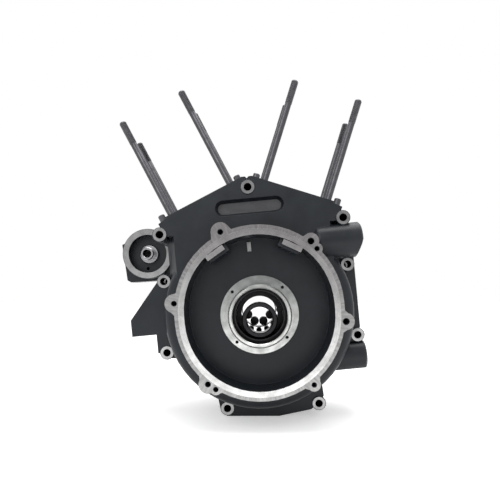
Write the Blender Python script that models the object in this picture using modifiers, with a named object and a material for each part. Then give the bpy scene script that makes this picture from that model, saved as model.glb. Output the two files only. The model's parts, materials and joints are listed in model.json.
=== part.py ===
# Bare crankcase of a large air-cooled V-twin: two castings, cylinder studs, dowels and main bearings.
# The case frame has its origin on the crank axis in the joint plane of the halves, X to the rear,
# Y to the right side and Z up along the bisector of the V. Sizes below are in millimetres.

import bpy
import bmesh
from math import asin, atan2, cos, degrees, pi, radians, sin, sqrt
from mathutils import Matrix, Vector

MM = 0.001
FIT = 0.3                  # gap between pieces that seat on each other
OVERLAP = 2.0              # how far joined shapes run into each other, and cutters run past a wall
LEFT, RIGHT = -1, 1        # the side of the joint plane that a half lies on
FRONT, REAR = -1, 1        # the side of the bisector

# layout of the V
V_ANGLE = 45.0             # between the cylinders
LEAN = 5.4                 # the bisector leans this far to the front as the case stands
CHAMBER_DIA = 192.0
DECK_HEIGHT = CHAMBER_DIA / 2 + 43.0   # crank axis to the cylinder decks
CYLINDER_INSET = 1.2       # each cylinder axis passes the crank axis this far on the bisector's side
CYLINDER_BORE = 88.0       # opening for the cylinder's spigot

# crank chamber and its walls
CHAMBER_DEPTH = 43.0       # joint plane to the chamber's side wall
DRUM_WALL = 7.3            # round the chamber
SIDE_WALL = 7.0            # beside the chamber
DRUM_EDGE = 9.0            # rounding of the drum's outer edge

# upper body that carries the decks
SHOULDER = CHAMBER_DIA / 2 - 1.0       # bisector to the body's end walls
DECK_PAD = 41.5            # cylinder axis to the outer edge of the machined deck
DECK_STEP = 2.0            # the casting beside the machined deck is this much lower
DECK_END = 52.0            # cylinder axis to the end of the deck
DECK_LIP = 6.0             # height of the overhanging end of the deck
# recesses under the ends of the decks, with a slanted wall
RECESS_FLOOR = 28.0        # joint plane to the foot of the slanted wall
RECESS_SLANT = 11.0        # how far the wall leans in up to the outside
RECESS_TOP = 92.0
VALLEY_CUT = 2.4           # the ridge where the decks would meet is cut down by this
VALLEY_GROOVE = 2.0        # half width and depth of the groove in that ridge
BODY_EDGE = 1.2            # rounding of cast edges

# bolts through both halves, as radius and angle from the bisector, plus to the front
BOLT_HOLE = 8.5
BOSS_DIA = 16.0
BOSS_LIP = 0.7             # chamfer round a boss's machined end
LOW_BOSS_DEPTH = 28.0      # joint plane to the machined ends of the bosses round the chamber
HIGH_BOSS_DEPTH = 51.0     # the same for the three bosses of the upper body
HIGH_BOLT_RADIUS = DECK_HEIGHT - 2.5
LOW_BOLT_RADIUS = CHAMBER_DIA / 2 + 16.5
HIGH_BOLT_ANGLES = (0.0, 46.2, -46.2)
LOW_BOLT_ANGLES = (66.4, 107.9, 156.1, -66.4, -107.9)
SUMP_BOLT = (CHAMBER_DIA / 2 + 25.0, -152.0)
WEB_DEPTH = 24.0           # of the webs that tie the low bosses to the drum
WEB_FLARE = 6.0            # how much wider a web is at the drum than at its boss, on each side

# sump and the flat it stands on
BASE_DROP = CHAMBER_DIA / 2 + 19.5     # crank axis down to the flat
BASE_FRONT = 36.0          # flat's reach to the front and rear of the crank axis
BASE_REAR = 22.0
SUMP_DEPTH = 26.5
SUMP_RISE = 7.5            # rear of the sump climbs by this much over the next length
SUMP_RUN = 36.0

# front mounting foot
FOOT_REACH = 144.6         # crank axis to the foot's end
FOOT_TOP = 4.9             # top of the end face, above the crank axis
FOOT_BOTTOM = -13.5
FOOT_HEEL = 117.3          # where the wall under the foot turns down
FOOT_BOLT = 11.0
FOOT_BOLT_X = 131.0
FOOT_BOLT_Y = 14.0         # joint plane to the bolt
FOOT_SEAT = 20.0           # diameter of the spot face over the bolt
FOOT_PLATE = 20.0          # thickness left under the spot face

# rear mounting bosses, which lie along X, and the web between them
REAR_WALL = CHAMBER_DIA / 2 + 16.3     # crank axis to the web's edge
REAR_WEB_DEPTH = 20.0
UPPER_MOUNT_DIA = 38.0
UPPER_MOUNT_Z = 70.6
UPPER_MOUNT_Y = 40.0
UPPER_MOUNT_END = REAR_WALL + 4.3
UPPER_MOUNT_BOLT_Z = 78.0
UPPER_MOUNT_HEEL = (69.5, 49.0)    # the boss is cut off slantwise between these heights
UPPER_MOUNT_HEEL_IN = 8.1          # and by this much
MOUNT_RIB_TOP = 66.0       # the rib under the upper boss, from the boss down to the web
MOUNT_RIB_FOOT = 50.0
MOUNT_RIB_OUT = 56.0
LOWER_MOUNT_DIA = 34.0
LOWER_MOUNT_Z = -58.0
LOWER_MOUNT_Y = 18.5
LOWER_MOUNT_END = REAR_WALL + 2.2
LOWER_MOUNT_FLAT = 13.8    # the mount's axis to the flat under it
MOUNT_ROOT = CHAMBER_DIA / 2 - 34.0    # where both bosses start, inside the body
MOUNT_SWELL = 10.0         # length over which they swell out to their full size
MOUNT_THREAD = 10.0
MOUNT_THREAD_DEPTH = 28.0
MOUNT_EDGE = 2.0

# alternator cavity and its ring, left half
CAVITY_DIA = 147.4
CAVITY_RISE = 6.7          # the cavity's upper half is drawn this much higher
CAVITY_FLOOR = 57.0        # joint plane to the cavity's floor
RING_WIDTH = 9.8
RING_FACE = 92.0           # joint plane to the ring's outer, screwed face
SPIGOT_WIDTH = 5.9         # raised inner part of the ring
SPIGOT_RISE = 1.5
RING_ROOT = 4.0            # fillet between the ring's wall and the body
# lobes of the ring: distance outside the cavity's lower circle, angle from the bisector, lobe diameter,
# hole diameter
RING_LOBES = (
    (17.6, 19.8, 19.2, 4.9),
    (11.4, 76.2, 18.6, 4.7),
    (10.1, 137.2, 18.6, 4.9),
    (9.9, 143.5, 11.4, 4.4),
    (11.9, -147.0, 13.2, 4.4),
    (10.9, -98.8, 16.8, 6.0),
    (13.0, -45.5, 11.2, 4.4),
    (15.3, -39.5, 16.4, 6.0),
)
LOBE_ARC = 80.0            # degrees that a lobe's round end runs to each side
LOBE_HOLE_DEPTH = 22.0
LOBE_FLARE = 5.0           # the lobe's neck is this much wider where it meets the ring
LUG_ANGLE = 30.0           # the two lugs inside the ring, from the bisector
LUG_WIDTH = 20.4
LUG_RADIUS = CAVITY_DIA / 2 - 0.3      # crank axis to a lug's inner face
LUG_DEPTH = 26.0
LEDGE_STEP = 2.4           # the ledge under a lug stands this much further in
LEDGE_REACH = 3.2          # and this much further out on the side of the bisector
LEDGE_DROP = 5.0
MARK_ANGLE = 3.5           # raised timing mark on the cavity's floor
MARK_RADIUS = CAVITY_DIA / 2 - 1.7
MARK_SIZE = (4.2, 10.0, 2.5)

# seal hub and stator flange, left half
FLANGE_DIA = 82.2
FLANGE_RISE = 4.0          # above the cavity's floor
FLANGE_SCREWS = 4
FLANGE_SCREW_CIRCLE = 74.4
FLANGE_SCREW_HOLE = 3.4
HUB_DIA = 63.4
HUB_END = 91.0
HUB_CHAMFER = 1.4
SEAL_BORE = 54.8
SEAL_DEPTH = 15.0
LEFT_RACE_BORE = 53.0
LEFT_LIP_DIA = 38.8        # the wall's own opening behind the bearing
LEFT_LIP = 4.0             # thickness of that wall
LEFT_RACE_INNER = 48.0
RETAINER_WIDTH = 1.6
RETAINER_INNER = 49.0
LOOSE_RACE_OUTER = 37.0
LOOSE_RACE_INNER = 27.2
LOOSE_RACE_WIDTH = 20.0

# recess in the wall above the ring, left half
PILL_HEIGHT = DECK_HEIGHT - 23.0
PILL_LENGTH = 74.0
PILL_WIDTH = 17.0
PILL_DEPTH = 6.0
PILL_SLOPE = 2.6           # how far its walls lean in towards the floor

# cylinder studs and deck dowels
STUD_PITCH = 72.8          # along the deck and across it
STUD_SHANK = 7.2
STUD_THREAD = 7.9
STUD_TIP = DECK_HEIGHT + 116.6         # crank axis to a stud's tip, along the cylinder
STUD_TOP_THREAD = 26.3
STUD_SEAT = 24.0           # how deep the studs sit in the deck
STUD_CHAMFER = 0.8
RIGHT_INNER_SHIFT = 5.9    # the right half's inner studs stand this much nearer the ridge
DOWEL_DIA = 7.6
DOWEL_ACROSS = 46.3        # cylinder axis to the deck dowels
DOWEL_Y = 40.0
DOWEL_TOP = 5.8            # above the deck
DOWEL_SEAT = 4.0

# ring dowels in the joint plane, round two of the bolts
JOINT_DOWEL_DIA = 11.6
JOINT_DOWEL_WALL = 1.2
JOINT_DOWEL_LENGTH = 12.0
JOINT_DOWEL_ANGLES = (66.4, -66.4)

# right main bearing
RIGHT_RACE_BORE = 64.0
RIGHT_RACE_WALL = 2.0
RIGHT_BOSS_DIA = 78.0
RIGHT_BOSS_END = 66.0
ROLLERS = 16
ROLLER_DIA = 7.4
SLEEVE_WALL = 0.9
LOOSE_ROLLERS = 4
LOOSE_ROLLER_DIA = 11.0

# gear chest, right half: circles whose common belt is its outline, as x, z, radius
CAM_HEIGHT = 61.5
CHEST_CIRCLES = ((0.0, 0.0, 48.0), (0.0, CAM_HEIGHT, 56.0), (-60.0, 8.0, 26.0), (60.0, 14.0, 24.0))
CHEST_WALL = 8.0
CHEST_FLOOR = 54.0
CHEST_FACE = 86.0
CHEST_SCREWS = 14
CHEST_SCREW_HOLE = 5.2
CAM_BOSS_DIA = 40.0
CAM_BOSS_END = 63.0
CAM_BEARING_BORE = 28.0
CAM_BEARING_WALL = 3.0
CAM_BEARING_DEPTH = 15.0
BREATHER = (-60.0, 8.0)
BREATHER_DIA = 24.0
BREATHER_BOSS = 34.0
TAPPET_ANGLE = 31.0
TAPPET_HEIGHT = 63.0       # cam axis to the tappet pads
TAPPET_PAD = (52.0, 30.0)  # across and along the crank axis
TAPPET_SLOT = (34.0, 18.0)
TAPPET_SCREW_HOLE = 5.2

# oil pump pad, right half
PUMP_PAD = (62.0, -48.0)
PUMP_PAD_SIZE = (42.0, 38.0)
PUMP_PAD_FACE = 58.0
PUMP_SHAFT_HOLE = 13.0
PUMP_PORT = 8.0
PUMP_SCREW_HOLE = 5.2

# oil filter pad, right half
FILTER_X = -131.0
FILTER_Z = 83.2
FILTER_PAD_DIA = 62.0
FILTER_RECESS_DIA = 47.0
FILTER_FACE = 28.0         # joint plane to the pad's face, on the right side
FILTER_RECESS = 13.0
FILTER_BACK = 70.0
FILTER_BLOCK_FACE = 41.0
FILTER_PORT = 4.0          # oil port in the recess, and where it lies from the recess's middle and foot
FILTER_PORT_X = 3.8
FILTER_PORT_RISE = 6.0
NIPPLE_DIA = 16.4
NIPPLE_BORE = 9.6
NIPPLE_COLLAR_DIA = 23.6
NIPPLE_COLLAR = 4.0
NIPPLE_PROUD = 3.0
NIPPLE_SEAT = 18.0

# drain plug, in a recess of the base flat
PLUG_X = -4.0
PLUG_Y = 14.0
PLUG_HEAD = 15.0
PLUG_THREAD = 10.0
PLUG_RECESS = 7.0
PLUG_RECESS_DIA = 20.0

ROUND_FACETS = 56          # on large circles
MIDDLE_FACETS = 32
SMALL_FACETS = 16
TINY_FACETS = 10


def place(name, mesh_or_curve):
    obj = bpy.data.objects.new(name, mesh_or_curve)
    bpy.context.scene.collection.objects.link(obj)
    return obj


def weld(mesh):
    """Closes a converted shape's seams, evens out its depths and points its faces outwards."""
    shape = bmesh.new()
    shape.from_mesh(mesh)
    bmesh.ops.remove_doubles(shape, verts=shape.verts, dist=0.00002)
    bmesh.ops.dissolve_degenerate(shape, edges=shape.edges, dist=0.00002)
    bmesh.ops.holes_fill(shape, edges=shape.edges, sides=4)
    for vert in shape.verts:
        vert.co.y = round(vert.co.y, 7)
    bmesh.ops.recalc_face_normals(shape, faces=shape.faces)
    shape.to_mesh(mesh)
    shape.free()


def as_mesh(obj):
    """Turns an object with its modifiers into a plain mesh in the case frame."""
    bpy.context.view_layer.update()
    graph = bpy.context.evaluated_depsgraph_get()
    mesh = bpy.data.meshes.new_from_object(obj.evaluated_get(graph))
    mesh.transform(obj.matrix_world)
    weld(mesh)
    solid = place(obj.name + "_solid", mesh)
    bpy.data.objects.remove(obj)
    return solid


def polar(radius, angle):
    """Point in the case's X, Z plane; the angle starts at the bisector and grows to the front."""
    return -radius * sin(radians(angle)), radius * cos(radians(angle))


def arc(x, z, radius, start, end, steps):
    """Points on an arc, by angles from +X towards +Z."""
    turns = [radians(start + (end - start) * i / steps) for i in range(steps + 1)]
    return [(x + radius * cos(t), z + radius * sin(t)) for t in turns]


def circle(x, z, radius, sides=SMALL_FACETS):
    return arc(x, z, radius, 0, 360, sides)[:-1]


def belt(circles, grow=0.0):
    """Outline of a belt drawn tight round some circles, as their convex hull."""
    points = sorted({p for x, z, r in circles for p in circle(x, z, r + grow, MIDDLE_FACETS)})

    def chain(ordered):
        kept = []
        for p in ordered:
            while len(kept) > 1 and (kept[-1][0] - kept[-2][0]) * (p[1] - kept[-2][1]) <= \
                    (kept[-1][1] - kept[-2][1]) * (p[0] - kept[-2][0]):
                kept.pop()
            kept.append(p)
        return kept[:-1]

    return chain(points) + chain(points[::-1])


def prism(outline, side, near, far, bevel=0.0):
    """A flat outline in X, Z, made solid between two distances from the joint plane."""
    curve = bpy.data.curves.new("outline", 'CURVE')
    curve.dimensions = '2D'
    curve.fill_mode = 'BOTH'
    curve.extrude = (far - near) / 2 * MM
    spline = curve.splines.new('POLY')
    spline.points.add(len(outline) - 1)
    for point, (x, z) in zip(spline.points, outline):
        point.co = (x * MM, z * MM, 0, 1)
    spline.use_cyclic_u = True
    flat = place("prism", curve)
    upright = Matrix.Rotation(pi / 2, 4, 'X')
    flat.matrix_world = Matrix.Translation((0, side * (near + far) / 2 * MM, 0)) @ upright
    solid = as_mesh(flat)
    if bevel:
        round_edges(solid, bevel)
    return solid


def bar(outline, along, near, far):
    """A flat outline made solid between two distances: Y, Z along X, or X, Y along Z."""
    points = [(d, a, b) if along == 'X' else (a, b, d) for d in (near, far) for a, b in outline]
    count = len(outline)
    faces = [tuple(range(count)), tuple(range(count, 2 * count))]
    for i in range(count):
        after = (i + 1) % count
        faces.append((i, after, after + count, i + count))
    mesh = bpy.data.meshes.new("bar")
    mesh.from_pydata([[c * MM for c in point] for point in points], [], faces)
    return as_mesh(place("bar", mesh))


def round_edges(solid, width, segments=2, limit=40):
    edge = solid.modifiers.new("edge", 'BEVEL')
    edge.width = width * MM
    edge.segments = segments
    edge.limit_method = 'ANGLE'
    edge.angle_limit = radians(limit)
    bpy.context.view_layer.objects.active = solid
    bpy.ops.object.modifier_apply(modifier=edge.name)
    weld(solid.data)


def turned(profile, sides, where=(0, 0, 0), axis=(0, 1, 0), closed=False):
    """A lathe profile of (radius, distance along the axis), spun round an axis through a point."""
    mesh = bpy.data.meshes.new("profile")
    points = [(r * MM, 0, a * MM) for r, a in profile]
    edges = [(i, i + 1) for i in range(len(points) - 1)]
    if closed:
        edges.append((len(points) - 1, 0))
    mesh.from_pydata(points, edges, [])
    solid = place("turned", mesh)
    screw = solid.modifiers.new("spin", 'SCREW')
    screw.steps = sides
    screw.render_steps = sides
    screw.use_merge_vertices = True
    screw.merge_threshold = 0.00001
    turn = Vector((0, 0, 1)).rotation_difference(Vector(axis)).to_matrix().to_4x4()
    solid.matrix_world = Matrix.Translation(Vector(where) * MM) @ turn
    return as_mesh(solid)


def rod(radius, near, far, sides, where=(0, 0, 0), axis=(0, 1, 0), chamfer=0.0):
    """A plain round bar, with a chamfer on its far end if one is given."""
    end = [(radius, far - chamfer), (radius - chamfer, far)] if chamfer else [(radius, far)]
    return turned([(0, near), (radius, near)] + end + [(0, far)], sides, where, axis)


def ring(outer, inner, near, far, sides, where=(0, 0, 0), axis=(0, 1, 0), chamfer=0.0):
    """A round tube, with a chamfer on both edges of its far end if one is given."""
    profile = [(outer, near), (outer, far - chamfer), (outer - chamfer, far),
               (inner + chamfer, far), (inner, far - chamfer), (inner, near)]
    if not chamfer:
        profile = [(outer, near), (outer, far), (inner, far), (inner, near)]
    return turned(profile, sides, where, axis, closed=True)


def drill(x, z, dia, side, face, depth, sides=TINY_FACETS, mouth=0.0):
    """Cutter for a blind hole along Y from a face, with a chamfered mouth and a drill's point."""
    r = dia / 2
    profile = [(0, face - depth - r * 0.6), (r, face - depth), (r, face - mouth)]
    if mouth:
        profile.append((r + mouth, face))
    profile += [(profile[-1][0], face + OVERLAP), (0, face + OVERLAP)]
    return turned(profile, sides, (x, 0, z), (0, side, 0))


def block(low, high):
    """A box between two corners."""
    bpy.ops.mesh.primitive_cube_add(size=1)
    box = bpy.context.active_object
    middle = [(a + b) / 2 * MM for a, b in zip(low, high)]
    size = [abs(b - a) * MM for a, b in zip(low, high)]
    box.matrix_world = Matrix.Translation(middle) @ Matrix.Diagonal((*size, 1))
    return as_mesh(box)


def boolean(target, tool, operation):
    step = target.modifiers.new(operation.lower(), 'BOOLEAN')
    step.operation = operation
    step.solver = 'EXACT'
    step.object = tool
    bpy.context.view_layer.objects.active = target
    bpy.ops.object.modifier_apply(modifier=step.name)
    bpy.data.objects.remove(tool)
    weld(target.data)


def join(target, *tools):
    for tool in tools:
        boolean(target, tool, 'UNION')


def cut(target, *tools):
    for tool in tools:
        boolean(target, tool, 'DIFFERENCE')


# points worked out from the sizes above

half_v = radians(V_ANGLE / 2)
drum_radius = CHAMBER_DIA / 2 + DRUM_WALL
body_depth = CHAMBER_DEPTH + SIDE_WALL
stud_half = STUD_PITCH / 2


def deck_point(end, across, along):
    """A point by its distance from a cylinder's axis and its height along it, in X, Z."""
    off = across - CYLINDER_INSET
    return end * (along * sin(half_v) + off * cos(half_v)), along * cos(half_v) - off * sin(half_v)


def cylinder_axis(end):
    return Vector((end * sin(half_v), 0, cos(half_v)))


def from_floor(x, height):
    """A point given level with the floor, x to the rear of the crank axis and a height over it, in X, Z."""
    lean = radians(LEAN)
    z = height - BASE_DROP
    return x * cos(lean) + z * sin(lean), -x * sin(lean) + z * cos(lean)


high_bolts = [polar(HIGH_BOLT_RADIUS, a) for a in HIGH_BOLT_ANGLES]
low_bolts = [polar(LOW_BOLT_RADIUS, a) for a in LOW_BOLT_ANGLES] + [polar(*SUMP_BOLT)]
front_bolt, heel_bolt, sump_front_bolt, rear_bolt, lower_rear_bolt, sump_rear_bolt = low_bolts


def upper_outline():
    """The body under the decks, from the ridge down the rear side, then up the front side."""
    ridge = DECK_HEIGHT / cos(half_v) - VALLEY_CUT
    ridge_across = CYLINDER_INSET + (DECK_HEIGHT * cos(half_v) - ridge) / sin(half_v)
    wall_foot = sqrt(drum_radius ** 2 - SHOULDER ** 2) - OVERLAP
    lower_deck = DECK_HEIGHT - DECK_STEP
    rear = [
        (VALLEY_GROOVE, ridge),
        deck_point(REAR, ridge_across, DECK_HEIGHT),
        deck_point(REAR, DECK_PAD, DECK_HEIGHT),
        deck_point(REAR, DECK_PAD, lower_deck),
        deck_point(REAR, DECK_END, lower_deck - BODY_EDGE),
        deck_point(REAR, DECK_END, lower_deck - DECK_LIP),
        (SHOULDER, deck_point(REAR, DECK_END, lower_deck - DECK_LIP)[1] - DECK_LIP),
        (SHOULDER, wall_foot),
    ]
    front = [(-x, z) for x, z in rear[::-1]]
    return rear + front + [(0, ridge - VALLEY_GROOVE)]


def sump_outline():
    base_front = from_floor(-BASE_FRONT, 0)
    base_rear = from_floor(BASE_REAR, 0)
    inner = drum_radius - DRUM_WALL
    return [
        polar(inner, 144), (sump_front_bolt[0] - BOSS_DIA / 2, sump_front_bolt[1]), base_front, base_rear,
        from_floor(BASE_REAR + SUMP_RUN, SUMP_RISE), sump_rear_bolt,
        (sump_rear_bolt[0] + BOSS_DIA / 2.5, sump_rear_bolt[1] + BOSS_DIA / 2), polar(inner, -140),
    ]


def foot_outline():
    return [
        polar(drum_radius - DRUM_WALL, 60), (front_bolt[0] - BOSS_DIA / 2, front_bolt[1]),
        (-FOOT_REACH, FOOT_TOP), (-FOOT_REACH, FOOT_BOTTOM), (-FOOT_HEEL, FOOT_BOTTOM),
        (-FOOT_HEEL, heel_bolt[1]), heel_bolt, polar(drum_radius - DRUM_WALL, 116),
    ]


def rear_outline():
    inner = drum_radius - DRUM_WALL
    return [
        polar(inner, -50), (REAR_WALL, UPPER_MOUNT_Z),
        (REAR_WALL, lower_rear_bolt[1] + BOSS_DIA / 2), lower_rear_bolt,
        (LOWER_MOUNT_END - 2 * MOUNT_EDGE, LOWER_MOUNT_Z), polar(inner, -130),
    ]


def web_outline(x, z):
    """Tapered web that ties a bolt boss to the drum."""
    reach = Vector((x, z)).length
    out = Vector((x, z)) / reach
    sideways = Vector((-out.y, out.x))
    inner = drum_radius - DRUM_WALL / 2
    half = BOSS_DIA / 2 - BOSS_LIP
    corners = [(inner, -half - WEB_FLARE), (reach, -half), (reach, half), (inner, half + WEB_FLARE)]
    return [tuple(out * r + sideways * s) for r, s in corners]


def mount_boss(side, dia, y, z, end):
    """Round mounting boss that lies along X."""
    edge = MOUNT_EDGE
    turns = [radians(22.5 * i) for i in range(5)]
    profile = [(dia / 2 * sin(t), MOUNT_ROOT + MOUNT_SWELL * (1 - cos(t))) for t in turns]
    profile += [(dia / 2, end - edge), (dia / 2 - edge, end), (0, end)]
    return turned(profile, MIDDLE_FACETS, (0, side * y, z), (1, 0, 0))


def mount_thread(side, y, z, end):
    r = MOUNT_THREAD / 2
    profile = [(0, end - MOUNT_THREAD_DEPTH - r), (r, end - MOUNT_THREAD_DEPTH), (r, end - 1),
               (r + 1, end),
               (r + 1, end + OVERLAP), (0, end + OVERLAP)]
    return turned(profile, SMALL_FACETS, (0, side * y, z), (1, 0, 0))


def recess_cutter(end, side):
    """Takes away the end of the upper body outside a slanted wall, below the end of the deck."""
    slope = RECESS_SLANT / (body_depth - RECESS_FLOOR)
    near, deep = RECESS_FLOOR - OVERLAP, body_depth + OVERLAP
    inner = SHOULDER + slope * OVERLAP
    outer = SHOULDER - RECESS_SLANT - slope * OVERLAP
    far = SHOULDER + 2 * OVERLAP
    plan = [(end * inner, side * near), (end * far, side * near), (end * far, side * deep),
            (end * outer, side * deep)]
    return bar(plan, 'Z', 0, RECESS_TOP)


def upper_mount(side):
    """The upper mounting boss with the rib that runs down from it, cut off slantwise at the rear."""
    boss = mount_boss(side, UPPER_MOUNT_DIA, UPPER_MOUNT_Y, UPPER_MOUNT_Z, UPPER_MOUNT_END)
    rib = [(-side * OVERLAP * 2, MOUNT_RIB_TOP), (side * MOUNT_RIB_OUT, MOUNT_RIB_TOP),
           (side * (REAR_WEB_DEPTH + 1), MOUNT_RIB_FOOT), (-side * OVERLAP * 2, MOUNT_RIB_FOOT)]
    join(boss, bar(rib, 'X', MOUNT_ROOT + MOUNT_SWELL, UPPER_MOUNT_END - MOUNT_EDGE))
    top, low = UPPER_MOUNT_HEEL
    slope = UPPER_MOUNT_HEEL_IN / (top - low)
    out = UPPER_MOUNT_END + OVERLAP
    foot = MOUNT_RIB_FOOT - OVERLAP
    heel = [(out, top + OVERLAP / slope), (out, foot), (UPPER_MOUNT_END - (top - foot) * slope, foot)]
    cut(boss, prism(heel, side, -3 * OVERLAP, body_depth + UPPER_MOUNT_DIA))
    return boss


def stud_places(side):
    """How far a half's inner and outer stud stand from the cylinder's axis, along the deck."""
    shift = RIGHT_INNER_SHIFT if side == RIGHT else 0.0
    return -stud_half - shift, stud_half


def cast_half(side):
    """The shape that both castings share, run past the joint plane and still without holes."""
    drum = [(0, -OVERLAP / 2), (drum_radius, -OVERLAP / 2), (drum_radius, body_depth - DRUM_EDGE)]
    drum += [(drum_radius - DRUM_EDGE * (1 - cos(t)), body_depth - DRUM_EDGE * (1 - sin(t)))
             for t in (radians(22.5 * i) for i in range(1, 5))]
    drum.append((0, body_depth))
    half = turned(drum, ROUND_FACETS, axis=(0, side, 0))
    upper = prism(upper_outline(), side, -2 * OVERLAP - 1, body_depth)
    for end in (FRONT, REAR) if side == LEFT else (REAR,):
        cut(upper, recess_cutter(end, side))
    join(half, upper)
    outlines = [(sump_outline(), SUMP_DEPTH), (foot_outline(), LOW_BOSS_DEPTH - OVERLAP),
                (rear_outline(), REAR_WEB_DEPTH)]
    outlines += [(web_outline(x, z), WEB_DEPTH) for x, z in low_bolts]
    for i, (outline, depth) in enumerate(outlines):
        # each one starts a little deeper, so that no two of them end in the same plane
        join(half, prism(outline, side, -2 * OVERLAP - i / 10, depth))
    for bolts, depth in ((low_bolts, LOW_BOSS_DEPTH), (high_bolts, HIGH_BOSS_DEPTH)):
        for x, z in bolts:
            join(half, rod(BOSS_DIA / 2, -OVERLAP, depth, SMALL_FACETS, (x, 0, z), (0, side, 0),
                           BOSS_LIP))
    join(half, upper_mount(side))
    lower = mount_boss(side, LOWER_MOUNT_DIA, LOWER_MOUNT_Y, LOWER_MOUNT_Z, LOWER_MOUNT_END)
    under = LOWER_MOUNT_Z - LOWER_MOUNT_FLAT
    cut(lower, block((0, -body_depth, under - LOWER_MOUNT_DIA), (REAR_WALL * 2, body_depth, under)))
    join(half, lower)
    return half


def cut_half(half, side):
    """Joint face, chamber, cylinder openings and every hole that both castings have."""
    reach = 2 * DECK_HEIGHT
    cut(half, block((-reach, side * FIT / 2, -reach), (reach, -side * body_depth, reach)))
    cut(half, rod(CHAMBER_DIA / 2, -OVERLAP, CHAMBER_DEPTH, ROUND_FACETS, axis=(0, side, 0)))
    for end in (FRONT, REAR):
        axis = cylinder_axis(end)
        x, z = deck_point(end, 0, 0)
        cut(half, rod(CYLINDER_BORE / 2, CHAMBER_DIA / 4, DECK_HEIGHT + 2 * OVERLAP, ROUND_FACETS,
                      (x, 0, z), axis))
        for across in stud_places(side):
            x, z = deck_point(end, across, 0)
            cut(half, rod(STUD_THREAD / 2 + FIT, DECK_HEIGHT - STUD_SEAT, DECK_HEIGHT + 2 * OVERLAP,
                          SMALL_FACETS,
                          (x, side * stud_half, z), axis))
    for x, z in low_bolts + high_bolts:
        cut(half, rod(BOLT_HOLE / 2, -OVERLAP, HIGH_BOSS_DEPTH + OVERLAP, SMALL_FACETS, (x, 0, z),
                      (0, side, 0)))
    relief = BOSS_DIA / 2 + FIT
    for bolts, depth in ((low_bolts, LOW_BOSS_DEPTH), (high_bolts[1:], HIGH_BOSS_DEPTH)):
        for x, z in bolts:
            cut(half, rod(relief, depth, body_depth + 6 * OVERLAP, SMALL_FACETS, (x, 0, z), (0, side, 0)))
    for angle in JOINT_DOWEL_ANGLES:
        x, z = polar(LOW_BOLT_RADIUS, angle)
        seat = JOINT_DOWEL_LENGTH / 2 + FIT
        cut(half, rod(JOINT_DOWEL_DIA / 2 + FIT, -OVERLAP, seat, SMALL_FACETS, (x, 0, z), (0, side, 0)))
    up = (0, 0, 1)
    foot_hole = (-FOOT_BOLT_X, side * FOOT_BOLT_Y, 0)
    cut(half, rod(FOOT_BOLT / 2, FOOT_BOTTOM - 2 * OVERLAP, DECK_HEIGHT / 3, SMALL_FACETS, foot_hole, up))
    cut(half, rod(FOOT_SEAT / 2, FOOT_BOTTOM + FOOT_PLATE, DECK_HEIGHT / 3, SMALL_FACETS, foot_hole, up))
    cut(half, mount_thread(side, UPPER_MOUNT_Y, UPPER_MOUNT_BOLT_Z, UPPER_MOUNT_END))
    cut(half, mount_thread(side, LOWER_MOUNT_Y, LOWER_MOUNT_Z, LOWER_MOUNT_END))


def cavity_outline(grow=0.0):
    """The alternator cavity: two half circles, the upper one drawn a little higher."""
    r = CAVITY_DIA / 2 + grow
    return arc(0, CAVITY_RISE, r, 0, 180, ROUND_FACETS // 2) + arc(0, 0, r, 180, 360, ROUND_FACETS // 2)


def lobe_outline(radius, angle, dia):
    """A screw lobe with a neck that widens towards the ring."""
    x, z = polar(radius, angle)
    out = Vector((x, z)).normalized()
    sideways = Vector((-out.y, out.x))
    r = dia / 2
    inner = CAVITY_DIA / 2 + SPIGOT_WIDTH
    turn = degrees(atan2(out.y, out.x))
    cap = arc(x, z, r, turn - LOBE_ARC, turn + LOBE_ARC, 12)
    root = [out * inner + sideways * (r + LOBE_FLARE), out * inner - sideways * (r + LOBE_FLARE)]
    return cap + [tuple(p) for p in root]


def lug_outline(end, inner, left, right):
    """One of the two square lugs inside the ring; left and right are seen from the crank axis."""
    angle = radians(LUG_ANGLE)
    out = Vector((end * sin(angle), cos(angle)))
    to_bisector = Vector((-end * cos(angle), sin(angle)))
    outer = CAVITY_DIA / 2 + RING_WIDTH / 2
    corners = ((inner, left), (outer, left), (outer, right), (inner, right))
    return [tuple(out * r + to_bisector * s) for r, s in corners]


def pill(half_length, radius, z):
    return arc(half_length, z, radius, -90, 90, 10) + arc(-half_length, z, radius, 90, 270, 10)


def pill_cutter():
    """A long recess with leaning walls, as a shallow stack joined from two outlines."""
    deep = body_depth - PILL_DEPTH
    radius = PILL_WIDTH / 2
    reach = PILL_LENGTH / 2 - radius
    shape = bmesh.new()
    loops = []
    for r, y in ((radius - PILL_SLOPE, deep), (radius, body_depth), (radius, body_depth + OVERLAP)):
        outline = pill(reach, r, PILL_HEIGHT)
        loops.append([shape.verts.new((x * MM, LEFT * y * MM, z * MM)) for x, z in outline])
    for lower, upper in zip(loops, loops[1:]):
        edges = [shape.edges.new((line[i - 1], line[i])) for line in (lower, upper)
                 for i in range(len(line)) if not shape.edges.get((line[i - 1], line[i]))]
        edges += [e for e in shape.edges if e not in edges and all(v in lower + upper for v in e.verts)]
        bmesh.ops.bridge_loops(shape, edges=edges)
    bmesh.ops.holes_fill(shape, edges=shape.edges)
    bmesh.ops.recalc_face_normals(shape, faces=shape.faces)
    mesh = bpy.data.meshes.new("pill")
    shape.to_mesh(mesh)
    shape.free()
    return place("pill", mesh)


def left_hub():
    """Stator flange and seal hub, still solid."""
    flange = CAVITY_FLOOR + FLANGE_RISE
    return turned([(0, CAVITY_FLOOR - OVERLAP), (FLANGE_DIA / 2, CAVITY_FLOOR - OVERLAP),
                   (FLANGE_DIA / 2, flange),
                   (HUB_DIA / 2, flange), (HUB_DIA / 2, HUB_END - HUB_CHAMFER),
                   (HUB_DIA / 2 - HUB_CHAMFER, HUB_END), (0, HUB_END)], ROUND_FACETS, axis=(0, LEFT, 0))


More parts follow.
